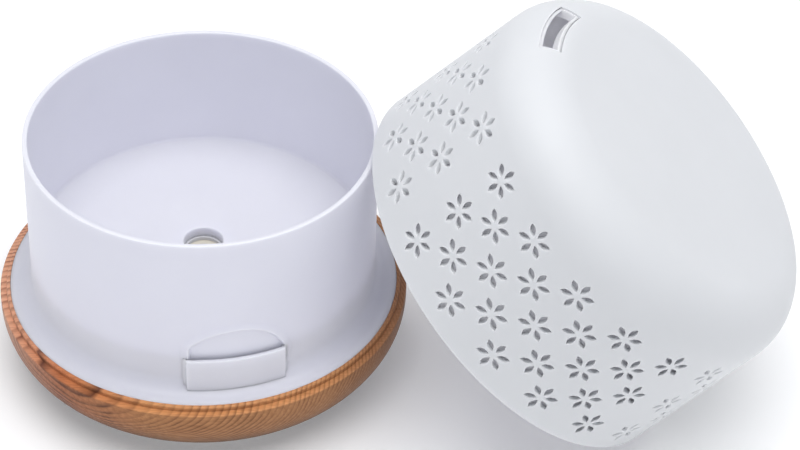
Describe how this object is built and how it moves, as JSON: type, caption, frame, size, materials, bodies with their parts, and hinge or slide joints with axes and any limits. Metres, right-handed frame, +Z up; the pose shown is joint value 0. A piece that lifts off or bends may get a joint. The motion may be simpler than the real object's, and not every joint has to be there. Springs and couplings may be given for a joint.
{
  "type": "essential oil diffuser",
  "caption": "Round ultrasonic oil diffuser: water tank on a wood-look base, with its flower-pierced white cover taken off and leaning beside it.",
  "frame": {"origin": "middle of the flat underside of the base's bottom cover; the rubber feet reach 1.2 mm below it", "axes": "+Z up along the base's axis, +X towards the leaning cover, +Y to the back, where the buttons are"},
  "size_m": [0.3226, 0.1813, 0.1657],
  "materials": {
    "wood_look": "satin wood-grain film on moulded plastic",
    "tank_white": "smooth satin, slightly translucent polypropylene",
    "cover_white": "fine matte moulded texture",
    "hood_white": "smooth satin",
    "underside_white": "moulded, satin",
    "button_white": "semi-gloss",
    "rubber": "matt",
    "seal_rubber": "matt silicone",
    "steel": "zinc plated",
    "ceramic": "metal-faced piezo ceramic",
    "black_plastic": "matt",
    "circuit_board": "solder mask",
    "copper": "enamelled copper winding",
    "aluminium": "extruded",
    "led_lens": "clear resin over a white body",
    "lead_red": "PVC sheath"
  },
  "bodies": {
    "base": {"base_ring": "wood_look", "tank": "tank_white", "bottom_cover": "underside_white", "foot_1": "rubber", "foot_2": "rubber", "foot_3": "rubber", "foot_4": "rubber", "case_screw_1": "steel", "case_screw_2": "steel", "case_screw_3": "steel", "case_screw_4": "steel", "transducer_disc": "ceramic", "transducer_seal": "seal_rubber", "transducer_clamp": "steel", "clamp_screw_1": "steel", "clamp_screw_2": "steel", "clamp_screw_3": "steel", "fan_frame": "black_plastic", "air_duct": "underside_white", "fan_screw_1": "steel", "fan_screw_2": "steel", "control_board": "circuit_board", "drive_coil": "copper", "capacitor_1": "black_plastic", "capacitor_2": "black_plastic", "transistor": "black_plastic", "heat_sink": "aluminium", "controller_chip": "black_plastic", "board_connector": "underside_white", "board_screw_1": "steel", "board_screw_2": "steel", "led_board": "circuit_board", "led_1": "led_lens", "led_2": "led_lens", "led_3": "led_lens", "led_4": "led_lens", "led_5": "led_lens", "led_6": "led_lens", "led_screw_1": "steel", "led_screw_2": "steel", "button_board": "circuit_board", "mist_switch": "black_plastic", "light_switch": "black_plastic", "dc_jack": "black_plastic", "dc_jack_nut": "steel", "power_lead": "lead_red", "transducer_lead": "lead_red", "led_lead": "lead_red", "fan_lead": "lead_red", "button_lead": "lead_red"},
    "fan": {"fan_rotor": "black_plastic"},
    "mist_key": {"mist_button": "button_white", "mist_switch_plunger": "steel"},
    "light_key": {"light_button": "button_white", "light_switch_plunger": "steel"},
    "cover": {"outer_cover": "cover_white", "inner_hood": "hood_white"}
  },
  "joints": [
    {"name": "cover_lift", "type": "slide", "parent": "base", "child": "cover", "axis": [0, 0, 1], "range_m": [0, 0.12]},
    {"name": "fan_spin", "type": "hinge", "parent": "base", "child": "fan", "pos_m": [0.00715, -0.02707, 0.0087], "axis": [0, 0, 1], "continuous": true},
    {"name": "mist_button_press", "type": "slide", "parent": "base", "child": "mist_key", "axis": [0, -1, 0], "range_m": [0, 0.0008], "stiffness_N_per_m": 1200, "springref_m": -0.001},
    {"name": "light_button_press", "type": "slide", "parent": "base", "child": "light_key", "axis": [0, -1, 0], "range_m": [0, 0.0008], "stiffness_N_per_m": 1200, "springref_m": -0.001}
  ]
}
